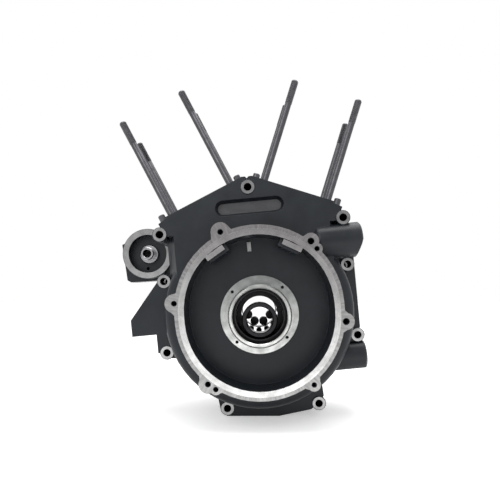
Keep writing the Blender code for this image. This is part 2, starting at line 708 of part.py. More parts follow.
def left_bore():
    """Seal bore, bearing bore and the opening in the chamber's wall."""
    seal = HUB_END - SEAL_DEPTH
    lip = CHAMBER_DEPTH + LEFT_LIP
    return turned([(0, CHAMBER_DEPTH - OVERLAP), (LEFT_LIP_DIA / 2, CHAMBER_DEPTH - OVERLAP),
                   (LEFT_LIP_DIA / 2, lip), (LEFT_RACE_BORE / 2, lip), (LEFT_RACE_BORE / 2, seal),
                   (SEAL_BORE / 2, seal), (SEAL_BORE / 2, HUB_END - 1), (SEAL_BORE / 2 + 1, HUB_END),
                   (SEAL_BORE / 2 + 1, HUB_END + OVERLAP), (0, HUB_END + OVERLAP)], ROUND_FACETS,
                   axis=(0, LEFT, 0))


def alternator_ring():
    """The ring with its lobes and lugs, the cavity inside it, and the hub on the cavity's floor."""
    spigot = RING_FACE + SPIGOT_RISE
    casting = prism(cavity_outline(RING_WIDTH), LEFT, CHAMBER_DEPTH + OVERLAP, RING_FACE)
    for out, angle, dia, _ in RING_LOBES:
        join(casting, prism(lobe_outline(CAVITY_DIA / 2 + out, angle, dia), LEFT, body_depth - OVERLAP,
                            RING_FACE))
    join(casting, prism(cavity_outline(SPIGOT_WIDTH), LEFT, CAVITY_FLOOR, spigot))
    cut(casting, prism(cavity_outline(), LEFT, CAVITY_FLOOR, spigot + OVERLAP))
    for end in (FRONT, REAR):
        low = spigot - LUG_DEPTH
        half_lug = LUG_WIDTH / 2
        ledge = lug_outline(end, LUG_RADIUS - LEDGE_STEP, -half_lug + 1, half_lug + LEDGE_REACH)
        join(casting, prism(lug_outline(end, LUG_RADIUS, -half_lug, half_lug), LEFT, low + OVERLAP,
                            spigot))
        join(casting, prism(ledge, LEFT, low, spigot - LEDGE_DROP))
    join(casting, left_hub())
    for i in range(FLANGE_SCREWS):
        x, z = polar(FLANGE_SCREW_CIRCLE / 2, 360 / FLANGE_SCREWS * (i + 0.5))
        cut(casting, drill(x, z, FLANGE_SCREW_HOLE, LEFT, CAVITY_FLOOR + FLANGE_RISE, SEAL_DEPTH / 2))
    for out, angle, _, hole in RING_LOBES:
        cut(casting, drill(*polar(CAVITY_DIA / 2 + out, angle), hole, LEFT, RING_FACE, LOBE_HOLE_DEPTH,
                           mouth=0.6))
    x, z = polar(MARK_RADIUS, MARK_ANGLE)
    wide, tall, thick = MARK_SIZE
    join(casting, block((x - wide / 2, -CAVITY_FLOOR - thick, z - tall / 2),
                        (x + wide / 2, -CAVITY_FLOOR + OVERLAP, z + tall / 2)))
    return casting


def build_left_case():
    half = cast_half(LEFT)
    cut_half(half, LEFT)
    flare = prism(cavity_outline(RING_WIDTH + RING_ROOT), LEFT, body_depth - RING_ROOT,
                  body_depth + RING_ROOT)
    round_edges(flare, RING_ROOT - 0.5)
    join(half, flare)
    join(half, alternator_ring())
    cut(half, left_bore())
    cut(half, pill_cutter())
    cut_dowel_seats(half)
    return finish(half, "left_case", "cast_black")


def cut_dowel_seats(half):
    for end in (FRONT, REAR):
        for across in (-DOWEL_ACROSS, DOWEL_ACROSS):
            x, z = deck_point(end, across, 0)
            cut(half, rod(DOWEL_DIA / 2 + FIT, DECK_HEIGHT - DOWEL_SEAT - FIT, DECK_HEIGHT + 2 * OVERLAP,
                          SMALL_FACETS,
                          (x, LEFT * DOWEL_Y, z), cylinder_axis(end)))


def tappet_frame(end):
    """Turns a pad drawn round the origin, facing +Z, to its place over the cam."""
    turn = Matrix.Rotation(end * radians(TAPPET_ANGLE), 4, 'Y')
    middle = (CHEST_FLOOR + CHEST_FACE) / 2
    return Matrix.Translation(Vector((0, middle, CAM_HEIGHT)) * MM) @ turn


def tappet_pad(end):
    across, along = TAPPET_PAD
    pad = block((-across / 2, -along / 2, CHEST_CIRCLES[1][2] - 3 * CHEST_WALL),
                (across / 2, along / 2, TAPPET_HEIGHT))
    round_edges(pad, BODY_EDGE)
    pad.data.transform(tappet_frame(end))
    return pad


def tappet_cutters(end):
    length, width = TAPPET_SLOT
    deep = CHEST_CIRCLES[1][2] - 3 * CHEST_WALL - OVERLAP
    slot = prism(pill((length - width) / 2, width / 2, 0), 1, deep, TAPPET_HEIGHT + OVERLAP)
    slot.data.transform(tappet_frame(end) @ Matrix.Rotation(pi / 2, 4, 'X'))
    tools = [slot]
    across, along = TAPPET_PAD
    for x in (-1, 1):
        for y in (-1, 1):
            hole = rod(TAPPET_SCREW_HOLE / 2, TAPPET_HEIGHT - 10, TAPPET_HEIGHT + OVERLAP, TINY_FACETS,
                       axis=(0, 0, 1))
            spot = Vector((x * (across / 2 - 5), y * (along / 2 - 4.5), 0)) * MM
            hole.data.transform(tappet_frame(end) @ Matrix.Translation(spot))
            tools.append(hole)
    return tools


def evenly(outline, count):
    """Points at equal steps along a closed outline."""
    ends = [Vector(p) for p in outline] + [Vector(outline[0])]
    total = sum((b - a).length for a, b in zip(ends, ends[1:]))
    found = []
    travelled = 0
    for a, b in zip(ends, ends[1:]):
        step = (b - a).length
        while len(found) < count and len(found) * total / count <= travelled + step:
            found.append(a.lerp(b, (len(found) * total / count - travelled) / step))
        travelled += step
    return found


def add_gear_chest(half):
    join(half, prism(belt(CHEST_CIRCLES), RIGHT, body_depth - OVERLAP, CHEST_FACE, BODY_EDGE))
    for end in (FRONT, REAR):
        join(half, tappet_pad(end))
    cut(half, prism(belt(CHEST_CIRCLES, -CHEST_WALL), RIGHT, CHEST_FLOOR, CHEST_FACE + OVERLAP))
    side = (0, RIGHT, 0)
    join(half, rod(RIGHT_BOSS_DIA / 2, CHEST_FLOOR - OVERLAP, RIGHT_BOSS_END, ROUND_FACETS, axis=side,
                   chamfer=1.0))
    join(half, rod(CAM_BOSS_DIA / 2, CHEST_FLOOR - OVERLAP, CAM_BOSS_END, MIDDLE_FACETS,
                   (0, 0, CAM_HEIGHT), side, 1.0))
    x, z = BREATHER
    join(half, rod(BREATHER_BOSS / 2 - 1, CHEST_FLOOR - OVERLAP, RIGHT_BOSS_END - 4, MIDDLE_FACETS,
                   (x, 0, z), side, 1.0))
    cut(half, rod(BREATHER_DIA / 2, CHAMBER_DEPTH - OVERLAP, CHEST_FACE, MIDDLE_FACETS, (x, 0, z), side))
    for end in (FRONT, REAR):
        cut(half, *tappet_cutters(end))
    for x, z in evenly(belt(CHEST_CIRCLES, -CHEST_WALL / 2), CHEST_SCREWS):
        cut(half, drill(x, z, CHEST_SCREW_HOLE, RIGHT, CHEST_FACE, 18))


def cut_right_bores(half):
    side = (0, RIGHT, 0)
    bore = [(0, CHAMBER_DEPTH - OVERLAP), (RIGHT_RACE_BORE / 2, CHAMBER_DEPTH - OVERLAP),
            (RIGHT_RACE_BORE / 2, RIGHT_BOSS_END + OVERLAP), (0, RIGHT_BOSS_END + OVERLAP)]
    cut(half, turned(bore, ROUND_FACETS, axis=side))
    deep = CAM_BOSS_END - CAM_BEARING_DEPTH
    cut(half, rod(CAM_BEARING_BORE / 2, deep, CAM_BOSS_END + OVERLAP, MIDDLE_FACETS, (0, 0, CAM_HEIGHT),
                  side))


def add_pump_pad(half):
    x, z = PUMP_PAD
    wide, tall = PUMP_PAD_SIZE
    corners = [(x - wide / 2, z - tall / 2), (x + wide / 2, z - tall / 2),
               (x + wide / 2, z + tall / 2), (x - wide / 2, z + tall / 2)]
    join(half, prism(corners, RIGHT, CHAMBER_DEPTH + OVERLAP, PUMP_PAD_FACE, BODY_EDGE * 2))
    cut(half, drill(x, z, PUMP_SHAFT_HOLE, RIGHT, PUMP_PAD_FACE, 12, SMALL_FACETS))
    for sx in (-1, 1):
        cut(half, drill(x + sx * wide / 4, z - tall / 4, PUMP_PORT, RIGHT, PUMP_PAD_FACE, 8,
                        SMALL_FACETS))
        for sz in (-1, 1):
            spot = (x + sx * (wide / 2 - 5), z + sz * (tall / 2 - 5))
            cut(half, drill(*spot, PUMP_SCREW_HOLE, RIGHT, PUMP_PAD_FACE, 11))


def add_filter_pad(half):
    x, z = FILTER_X, FILTER_Z
    side = (0, RIGHT, 0)
    r = FILTER_PAD_DIA / 2
    block_outline = [(x - r - 3, z + r / 2), (x - r - 0.5, z - r + 1), (x - r + 4, z - r - 2),
                     (x + r / 4, z - r - 3),
                     (-SHOULDER + 3 * OVERLAP, z - r - 3), (-SHOULDER + 3 * OVERLAP, z + r / 2),
                     (x + r / 2, z + r * 0.8), (x, z + r * 0.9)]
    join(half, prism(block_outline, RIGHT, FILTER_BLOCK_FACE, FILTER_BACK, BODY_EDGE * 2))
    join(half, rod(r, OVERLAP - FILTER_BACK, -FILTER_FACE, ROUND_FACETS, (x, 0, z), (0, LEFT, 0), 0.6))
    neck = [(x, z - r * 0.8), (-SHOULDER + 3 * OVERLAP, z - r * 0.8),
            (-SHOULDER + 3 * OVERLAP, z + r * 0.4), (x, z + r * 0.8)]
    join(half, prism(neck, RIGHT, FILTER_FACE + 3 * OVERLAP, FILTER_BACK - 2 * OVERLAP))
    floor = FILTER_FACE + FILTER_RECESS
    cut(half, rod(FILTER_RECESS_DIA / 2, FILTER_FACE - OVERLAP, floor, ROUND_FACETS, (x, 0, z), side))
    cut(half, rod(NIPPLE_DIA / 2 + FIT, FILTER_FACE, floor + NIPPLE_SEAT + FIT, MIDDLE_FACETS, (x, 0, z),
                  side))
    port = (x - FILTER_PORT_X, 0, z - FILTER_RECESS_DIA / 2 + FILTER_PORT_RISE)
    cut(half, rod(FILTER_PORT / 2, FILTER_FACE, floor + NIPPLE_SEAT / 2, TINY_FACETS, port, side))


def build_right_case():
    half = cast_half(RIGHT)
    cut_half(half, RIGHT)
    add_pump_pad(half)
    add_gear_chest(half)
    add_filter_pad(half)
    cut_right_bores(half)
    cut(half, *plug_cutters())
    return finish(half, "right_case", "cast_black")


def plug_axis():
    x, z = from_floor(PLUG_X, 0)
    lean = radians(LEAN)
    return (x, PLUG_Y, z), (sin(lean), 0, cos(lean))


def plug_cutters():
    where, up = plug_axis()
    return (rod(PLUG_RECESS_DIA / 2, -OVERLAP, PLUG_RECESS, MIDDLE_FACETS, where, up),
            rod(PLUG_THREAD / 2 + FIT, 0, BASE_DROP - CHAMBER_DIA / 2 + 4 * OVERLAP, SMALL_FACETS, where,
                up))


def build_drain_plug():
    where, up = plug_axis()
    head = PLUG_HEAD / 2 / cos(pi / 6)
    plug = turned([(0, 1.0), (head, 1.0), (head, PLUG_RECESS - FIT), (0, PLUG_RECESS - FIT)], 6, where,
                  up)
    join(plug, rod(PLUG_THREAD / 2, PLUG_RECESS - OVERLAP, BASE_DROP - CHAMBER_DIA / 2, SMALL_FACETS,
                   where, up))
    finish(plug, "drain_plug", "steel")


def build_studs():
    low = DECK_HEIGHT - STUD_SEAT + FIT
    thread, shank, chamfer = STUD_THREAD / 2, STUD_SHANK / 2, STUD_CHAMFER
    under = DECK_HEIGHT - OVERLAP
    top = STUD_TIP - STUD_TOP_THREAD
    step = thread - shank
    profile = [(0, low), (thread - chamfer, low), (thread, low + chamfer), (thread, under),
               (shank, under + step), (shank, top - step), (thread, top),
               (thread, STUD_TIP - chamfer), (thread - chamfer, STUD_TIP), (0, STUD_TIP)]
    for side, side_name in ((LEFT, "left"), (RIGHT, "right")):
        for end, end_name in ((FRONT, "front"), (REAR, "rear")):
            for across, name in zip(stud_places(side), ("inner", "outer")):
                x, z = deck_point(end, across, 0)
                stud = turned(profile, SMALL_FACETS, (x, side * stud_half, z), cylinder_axis(end))
                finish(stud, f"stud_{end_name}_{name}_{side_name}", "black_oxide")


def build_deck_dowels():
    r = DOWEL_DIA / 2
    top = DECK_HEIGHT + DOWEL_TOP
    for end, end_name in ((FRONT, "front"), (REAR, "rear")):
        for across, name in ((-DOWEL_ACROSS, "inner"), (DOWEL_ACROSS, "outer")):
            x, z = deck_point(end, across, 0)
            pin = rod(r, DECK_HEIGHT - DOWEL_SEAT, top, SMALL_FACETS, (x, LEFT * DOWEL_Y, z),
                      cylinder_axis(end), 0.8)
            finish(pin, f"dowel_{end_name}_{name}", "black_oxide")


def build_joint_dowels():
    for angle, name in zip(JOINT_DOWEL_ANGLES, ("front", "rear")):
        x, z = polar(LOW_BOLT_RADIUS, angle)
        half = JOINT_DOWEL_LENGTH / 2
        r = JOINT_DOWEL_DIA / 2
        finish(ring(r, r - JOINT_DOWEL_WALL, -half, half, SMALL_FACETS, (x, 0, z)), f"joint_dowel_{name}",
               "steel")


def down_in_case_frame():
    lean = radians(LEAN)
    return Vector((-sin(lean), 0, -cos(lean)))


def build_left_bearing():
    lip = CHAMBER_DEPTH + LEFT_LIP + FIT
    race_end = HUB_END - SEAL_DEPTH - RETAINER_WIDTH - 2 * FIT
    side = (0, LEFT, 0)
    outer = LEFT_RACE_BORE / 2 - FIT
    finish(ring(outer, LEFT_RACE_INNER / 2, lip, race_end, ROUND_FACETS, (0, 0, 0), side, 0.6),
           "left_outer_race", "bearing_steel")
    clip = ring(outer, RETAINER_INNER / 2, race_end + FIT, race_end + FIT + RETAINER_WIDTH, ROUND_FACETS,
                axis=side)
    finish(clip, "left_retaining_ring", "bearing_steel")
    # the loose race lies at the bottom of the outer one
    drop = down_in_case_frame() * ((LEFT_RACE_INNER - LOOSE_RACE_OUTER) / 2 - FIT)
    loose = ring(LOOSE_RACE_OUTER / 2, LOOSE_RACE_INNER / 2, lip, lip + LOOSE_RACE_WIDTH, MIDDLE_FACETS,
                 drop, side, 0.8)
    finish(loose, "left_inner_race", "bearing_steel")


def build_right_bearing():
    side = (0, RIGHT, 0)
    near, far = CHAMBER_DEPTH + FIT, RIGHT_BOSS_END - 1
    outer = RIGHT_RACE_BORE / 2 - FIT
    inner = outer - RIGHT_RACE_WALL
    finish(ring(outer, inner, near, far, ROUND_FACETS, axis=side), "right_outer_race", "bearing_steel")
    circle_radius = inner - FIT - ROLLER_DIA / 2
    sleeve = circle_radius - ROLLER_DIA / 2 - FIT
    finish(ring(sleeve, sleeve - SLEEVE_WALL, near, far, MIDDLE_FACETS, axis=side), "right_roller_sleeve",
           "bearing_steel")
    for i in range(ROLLERS):
        x, z = polar(circle_radius, 180 - LEAN + 360 / ROLLERS * i)
        roller = rod(ROLLER_DIA / 2, near + 1, far - 1, TINY_FACETS, (x, 0, z), side)
        finish(roller, f"right_roller_{i + 1:02d}", "bearing_steel")
    # loose rollers lie side by side at the bottom of the sleeve
    rest = sleeve - SLEEVE_WALL - FIT - LOOSE_ROLLER_DIA / 2
    step = 2 * degrees(asin((LOOSE_ROLLER_DIA + FIT) / 2 / rest))
    for i in range(LOOSE_ROLLERS):
        x, z = polar(rest, 180 - LEAN + step * (i - (LOOSE_ROLLERS - 1) / 2))
        roller = rod(LOOSE_ROLLER_DIA / 2, near + 2, far - 2, SMALL_FACETS, (x, 0, z), side)
        finish(roller, f"loose_roller_{i + 1}", "bearing_steel")


def build_cam_bearing():
    r = CAM_BEARING_BORE / 2 - FIT
    deep = CAM_BOSS_END - CAM_BEARING_DEPTH + FIT
    bearing = ring(r, r - CAM_BEARING_WALL, deep, CAM_BOSS_END, MIDDLE_FACETS, (0, 0, CAM_HEIGHT),
                   (0, RIGHT, 0))
    finish(bearing, "cam_needle_bearing", "bearing_steel")


def build_filter_nipple():
    """Threaded tube with a round collar, screwed into the middle of the filter pad."""
    thread, bore, collar = NIPPLE_DIA / 2, NIPPLE_BORE / 2, NIPPLE_COLLAR_DIA / 2
    tip = FILTER_FACE - NIPPLE_PROUD
    floor = FILTER_FACE + FILTER_RECESS - FIT
    end = floor + NIPPLE_SEAT
    profile = [(bore, tip + 0.6), (bore + 0.6, tip), (thread - 1, tip), (thread, tip + 1),
               (thread, floor - NIPPLE_COLLAR),
               (collar - 0.8, floor - NIPPLE_COLLAR), (collar, floor - NIPPLE_COLLAR + 0.8),
               (collar, floor),
               (thread, floor), (thread, end), (bore, end)]
    nipple = turned(profile, MIDDLE_FACETS, (FILTER_X, 0, FILTER_Z), (0, RIGHT, 0), closed=True)
    finish(nipple, "filter_nipple", "bright_steel")


finishes = {
    "cast_black": ((0.035, 0.036, 0.04, 1), 0.45, 0.0),
    "black_oxide": ((0.06, 0.06, 0.06, 1), 0.4, 0.9),
    "bearing_steel": ((0.1, 0.1, 0.11, 1), 0.3, 1.0),
    "bright_steel": ((0.6, 0.6, 0.6, 1), 0.25, 1.0),
    "steel": ((0.4, 0.4, 0.4, 1), 0.35, 1.0),
}


def material(name):
    found = bpy.data.materials.get(name)
    if found:
        return found
    colour, roughness, metallic = finishes[name]
    made = bpy.data.materials.new(name)
    made.use_nodes = True
    shader = made.node_tree.nodes["Principled BSDF"]
    shader.inputs["Base Color"].default_value = colour
    shader.inputs["Roughness"].default_value = roughness
    shader.inputs["Metallic"].default_value = metallic
    return made


def merge_flats(mesh):
    shape = bmesh.new()
    shape.from_mesh(mesh)
    bmesh.ops.dissolve_limit(shape, angle_limit=radians(0.3), verts=shape.verts, edges=shape.edges)
    shape.to_mesh(mesh)
    shape.free()


def finish(solid, name, finish_name):
    """Names a solid, gives it its material and hangs it on the case frame."""
    merge_flats(solid.data)
    solid.name = name
    solid.data.name = name
    solid.data.materials.clear()
    solid.data.materials.append(material(finish_name))
    solid.data.shade_smooth()
    solid.data.set_sharp_from_angle(angle=radians(35))
    bpy.context.scene.collection.objects.unlink(solid)
    parts.objects.link(solid)
    solid.parent = case_frame
    return solid


for old in list(bpy.data.objects):
    bpy.data.objects.remove(old)

parts = bpy.data.collections.new("crankcase")
bpy.context.scene.collection.children.link(parts)
case_frame = bpy.data.objects.new("case_frame", None)
parts.objects.link(case_frame)

build_left_case()
build_right_case()
build_studs()
build_deck_dowels()
build_joint_dowels()
build_left_bearing()
build_right_bearing()
build_cam_bearing()
build_filter_nipple()
build_drain_plug()

# stand the case on its flat, with the bisector leaning to the front and the origin under its middle
case_frame.location.z = BASE_DROP * MM
case_frame.rotation_euler.y = -radians(LEAN)
bpy.context.view_layer.update()
solids = [piece for piece in parts.objects if piece.type == 'MESH']
spots = [piece.matrix_world @ vert.co for piece in solids for vert in piece.data.vertices]
for i in (0, 1):
    reach = [spot[i] for spot in spots]
    case_frame.location[i] = -(min(reach) + max(reach)) / 2
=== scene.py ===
import bpy
import json
from math import cos, hypot, pi, radians, sin
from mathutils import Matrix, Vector

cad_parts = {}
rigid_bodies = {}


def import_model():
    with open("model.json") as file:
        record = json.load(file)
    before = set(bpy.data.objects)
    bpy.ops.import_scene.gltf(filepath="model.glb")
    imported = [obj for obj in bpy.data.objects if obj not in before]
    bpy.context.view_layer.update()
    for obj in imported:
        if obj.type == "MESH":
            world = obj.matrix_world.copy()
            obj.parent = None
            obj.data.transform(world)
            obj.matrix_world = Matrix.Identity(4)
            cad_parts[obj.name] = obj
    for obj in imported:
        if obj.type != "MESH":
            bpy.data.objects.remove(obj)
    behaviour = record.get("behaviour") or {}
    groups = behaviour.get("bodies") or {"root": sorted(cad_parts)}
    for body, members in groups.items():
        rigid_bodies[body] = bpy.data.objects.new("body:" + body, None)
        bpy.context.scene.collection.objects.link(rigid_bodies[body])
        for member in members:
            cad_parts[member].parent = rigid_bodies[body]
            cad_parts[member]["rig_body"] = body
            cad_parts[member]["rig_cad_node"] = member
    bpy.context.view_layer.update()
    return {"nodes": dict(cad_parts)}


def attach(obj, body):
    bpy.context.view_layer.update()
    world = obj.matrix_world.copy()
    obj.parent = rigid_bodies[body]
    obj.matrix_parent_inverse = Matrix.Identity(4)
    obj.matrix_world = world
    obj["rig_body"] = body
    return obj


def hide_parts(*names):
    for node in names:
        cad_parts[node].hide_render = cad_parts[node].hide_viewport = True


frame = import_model()
print("frame loaded,", len(frame["nodes"]), "nodes")

# where the crankcase stands, in millimetres and degrees
stance = {
    "crankX": 26.367,        # crank axis from the origin
    "crankY": 3.75,          # joint plane of the halves
    "crankZ": 115.5,
    "lean": 5.4,             # the V's bisector leans this far to the front
    "vAngle": 45.0,
    "deckHeight": 139.0,     # cylinder decks from the crank axis
    "cylinderInset": 1.2,    # each cylinder axis passes the crank axis this far on the bisector's side
    "studHalf": 36.4,        # half a side of the square that a cylinder's studs stand on
}


def leanBy(x, z, degrees):
    # x and z measured along axes that lean this far to the front
    lean = radians(degrees)
    return x * cos(lean) + z * sin(lean), -x * sin(lean) + z * cos(lean)


def toCase(point):
    # a world point in metres as millimetres from the crank axis: rear, depth to the left, up the bisector
    x, z = leanBy(point.x * 1000 - stance["crankX"], point.z * 1000 - stance["crankZ"], stance["lean"])
    return x, stance["crankY"] - point.y * 1000, z


def toWorld(x, depth, z):
    x, z = leanBy(x, z, -stance["lean"])
    return Vector((x + stance["crankX"], stance["crankY"] - depth, z + stance["crankZ"])) / 1000


def turnToCase(normal):
    x, z = leanBy(normal.x, normal.z, stance["lean"])
    return x, -normal.y, z


def clearSelection():
    for item in bpy.context.selected_objects:
        item.select_set(False)


def makeActive(piece):
    clearSelection()
    piece.select_set(True)
    bpy.context.view_layer.objects.active = piece


# camera, in front of the left half, placed in millimetres from the crank axis
cameraSpec = {
    "distance": 542.0, "left": 3.87, "up": 26.8,
    "lens": 33.12, "shiftX": -0.012, "shiftY": 0.078, "nearClip": 0.01,
}
bpy.ops.object.camera_add(rotation=(pi / 2, 0, 0))
camera = bpy.context.active_object
camera.location = Vector((stance["crankX"] - cameraSpec["left"], stance["crankY"] - cameraSpec["distance"],
                          stance["crankZ"] + cameraSpec["up"])) / 1000
camera.data.lens = cameraSpec["lens"]
camera.data.shift_x = cameraSpec["shiftX"]
camera.data.shift_y = cameraSpec["shiftY"]
camera.data.clip_start = cameraSpec["nearClip"]
bpy.context.scene.camera = camera
bpy.context.scene.view_settings.view_transform = 'Standard'


# building blocks of the finishes

def newFinish(name, colour, rough, metal):
    finish = bpy.data.materials.new(name)
    finish.use_nodes = True
    nodes, links = finish.node_tree.nodes, finish.node_tree.links
    shader = nodes["Principled BSDF"]
    shader.inputs["Base Color"].default_value = (*colour, 1)
    shader.inputs["Roughness"].default_value = rough
    shader.inputs["Metallic"].default_value = metal
    place = nodes.new("ShaderNodeTexCoord").outputs["Object"]
    return finish, nodes, links, shader, place


def addNoise(nodes, links, place, scale, detail=3.0, rough=0.5):
    noise = nodes.new("ShaderNodeTexNoise")
    noise.inputs["Scale"].default_value = scale
    noise.inputs["Detail"].default_value = detail
    noise.inputs["Roughness"].default_value = rough
    links.new(place, noise.inputs["Vector"])
    return noise.outputs["Fac"]


def addRange(nodes, links, value, low, high, fromLow=0.3, fromHigh=0.7):
    spread = nodes.new("ShaderNodeMapRange")
    spread.inputs["From Min"].default_value = fromLow
    spread.inputs["From Max"].default_value = fromHigh
    spread.inputs["To Min"].default_value = low
    spread.inputs["To Max"].default_value = high
    links.new(value, spread.inputs["Value"])
    return spread.outputs["Result"]


def addBlend(nodes, links, value, first, second):
    # first and second are colours or sockets, and go to the mix node's colour pair, its inputs 6 and 7
    blend = nodes.new("ShaderNodeMix")
    blend.data_type = 'RGBA'
    links.new(value, blend.inputs["Factor"])
    for socket, colour in zip(blend.inputs[6:8], (first, second)):
        if isinstance(colour, tuple):
            socket.default_value = (*colour, 1)
        else:
            links.new(colour, socket)
    return blend.outputs[2]


def addBump(nodes, links, height, distance, strength, under):
    bump = nodes.new("ShaderNodeBump")
    bump.inputs["Distance"].default_value = distance
    bump.inputs["Strength"].default_value = strength
    links.new(height, bump.inputs["Height"])
    links.new(under, bump.inputs["Normal"])
    return bump.outputs["Normal"]


def addSoftEdge(nodes, radius):
    edge = nodes.new("ShaderNodeBevel")
    edge.samples = 6
    edge.inputs["Radius"].default_value = radius
    return edge.outputs["Normal"]


def addMath(nodes, links, kind, first, second=None):
    step = nodes.new("ShaderNodeMath")
    step.operation = kind
    for socket, value in zip(step.inputs, (first, second)):
        if isinstance(value, (int, float)):
            socket.default_value = value
        elif value:
            links.new(value, socket)
    return step.outputs["Value"]


def splitAxes(nodes, links, place):
    split = nodes.new("ShaderNodeSeparateXYZ")
    links.new(place, split.inputs["Vector"])
    return split.outputs


def addPolar(nodes, links, place, centre):
    # angle and radius round an axis along Y, as sockets
    move = nodes.new("ShaderNodeMapping")
    move.inputs["Location"].default_value = -centre
    links.new(place, move.inputs["Vector"])
    axes = splitAxes(nodes, links, move.outputs["Vector"])
    angle = addMath(nodes, links, 'ARCTAN2', axes["Z"], axes["X"])
    squareX = addMath(nodes, links, 'MULTIPLY', axes["X"], axes["X"])
    squareZ = addMath(nodes, links, 'MULTIPLY', axes["Z"], axes["Z"])
    radius = addMath(nodes, links, 'SQRT', addMath(nodes, links, 'ADD', squareX, squareZ))
    return angle, radius


def combine(nodes, links, x, y):
    join = nodes.new("ShaderNodeCombineXYZ")
    links.new(x, join.inputs["X"])
    links.new(y, join.inputs["Y"])
    return join.outputs["Vector"]


def darken(colour, share):
    return tuple(part * share for part in colour)


def joinShader(links, shader, colour, sheen, relief):
    links.new(colour, shader.inputs["Base Color"])
    links.new(sheen, shader.inputs["Roughness"])
    links.new(relief, shader.inputs["Normal"])


# satin black paint over a sand-cast surface
paintSpec = {
    "dark": (0.009, 0.0115, 0.0155), "light": (0.016, 0.0195, 0.0245), "shine": 0.3,
    "rough": 0.34, "smoother": 0.04, "rougher": 0.08,
    "cloud": 45, "sand": 700, "grain": 0.00012, "grainStrength": 0.5, "edge": 0.0009,
}


def makeCastPaint():
    dark, light, rough = (paintSpec[key] for key in ("dark", "light", "rough"))
    finish, nodes, links, shader, place = newFinish("castPaint", dark, rough, 0.0)
    shader.inputs["Specular IOR Level"].default_value = paintSpec["shine"]
    broad = addNoise(nodes, links, place, paintSpec["cloud"], detail=2)
    fine = addNoise(nodes, links, place, paintSpec["sand"])
    colour = addBlend(nodes, links, addRange(nodes, links, broad, 0, 1), dark, light)
    sheen = addRange(nodes, links, broad, rough - paintSpec["smoother"], rough + paintSpec["rougher"])
    edge = addSoftEdge(nodes, paintSpec["edge"])
    relief = addBump(nodes, links, fine, paintSpec["grain"], paintSpec["grainStrength"], edge)
    joinShader(links, shader, colour, sheen, relief)
    return finish


# bare machined faces: colour below and above the crank axis, painted reflection and light that make a face
# lighter or darker by its height, millimetres each way over which it changes, roughness, share of the tool
# marks in the pattern, and whether the marks run outwards or round
faceSpec = {
    "ringFace": ((0.5, 0.5, 0.495), (0.235, 0.225, 0.228), 85, 0.4, 0.8, True),
    "spigotFace": ((0.86, 0.86, 0.85), (0.3, 0.29, 0.292), 80, 0.24, 0.35, False),
    "flangeFace": ((0.86, 0.87, 0.85), (0.27, 0.28, 0.275), 42, 0.4, 0.3, False),
    "hubFace": ((0.85, 0.86, 0.83), (0.4, 0.41, 0.4), 34, 0.3, 0.2, False),
    "spotFace": ((0.62, 0.62, 0.62), (0.24, 0.24, 0.245), 130, 0.36, 0.3, False),
    "deckFace": ((0.3, 0.3, 0.3), (0.4, 0.4, 0.41), 160, 0.4, 0.3, False),
}
markSpec = {
    "outwards": (30.0, 45.0), "round": (1.5, 1500.0),    # how fine along the angle and along the radius
    "roughness": 0.6, "depth": 0.00005, "strength": 0.6,
    "worn": 0.5, "cloud": 90, "smoother": 0.05, "rougher": 0.08, "edge": 0.0003,
}


def makeTurnedFace(name):
    low, high, reach, rough, streak, outwards = faceSpec[name]
    finish, nodes, links, shader, place = newFinish(name, low, rough, 1.0)
    centre = toWorld(0, 0, 0)
    angle, radius = addPolar(nodes, links, place, centre)
    alongAngle, alongRadius = markSpec["outwards"] if outwards else markSpec["round"]
    pattern = combine(nodes, links, addMath(nodes, links, 'MULTIPLY', angle, alongAngle),
                      addMath(nodes, links, 'MULTIPLY', radius, alongRadius))
    marks = addNoise(nodes, links, pattern, scale=1.0, rough=markSpec["roughness"])
    cloud = addNoise(nodes, links, place, markSpec["cloud"])
    upright = splitAxes(nodes, links, place)["Z"]
    # painted reflection and light: the clean and the worn colour both go from the one below the crank axis
    # to the one above
    height = addRange(nodes, links, upright, 0, 1, centre.z - reach / 1000, centre.z + reach / 1000)
    cleanWithPaintedReflection = addBlend(nodes, links, height, low, high)
    worn = addBlend(nodes, links, height, darken(low, markSpec["worn"]), darken(high, markSpec["worn"]))
    wear = addMath(nodes, links, 'ADD', addRange(nodes, links, marks, 0, streak),
                   addRange(nodes, links, cloud, 0, 1 - streak))
    colour = addBlend(nodes, links, wear, cleanWithPaintedReflection, worn)
    sheen = addRange(nodes, links, cloud, rough - markSpec["smoother"], rough + markSpec["rougher"])
    edge = addSoftEdge(nodes, markSpec["edge"])
    relief = addBump(nodes, links, marks, markSpec["depth"], markSpec["strength"], edge)
    joinShader(links, shader, colour, sheen, relief)
    return finish


# steel and bare walls: colour, roughness and how metallic
steelSpec = {
    # painted shade: near-black steel for the bore's walls and the joint dowels, standing in for the shade
    # inside the bore
    "boreSteel": ((0.018, 0.018, 0.019), 0.3, 1.0),
    # painted shade: near-black matte walls inside the bolt holes
    "holeWall": ((0.012, 0.012, 0.013), 0.95, 0.0),
    "recessGrey": ((0.07, 0.071, 0.076), 0.5, 0.0),
    "studBlack": ((0.1, 0.1, 0.108), 0.3, 1.0),
    # painted shade: near-black steel for the bearings and races, standing in for the shade they lie in
    "raceSteel": ((0.03, 0.03, 0.032), 0.2, 1.0),
    "platedSteel": ((0.38, 0.38, 0.39), 0.16, 1.0),
    "plainSteel": ((0.5, 0.5, 0.51), 0.3, 1.0),
}
grainSpec = {
    "cloud": 160, "darker": 0.78, "smoother": 0.04, "rougher": 0.08,
    "fine": 1500, "depth": 0.00002, "strength": 0.4, "edge": 0.0003,
}


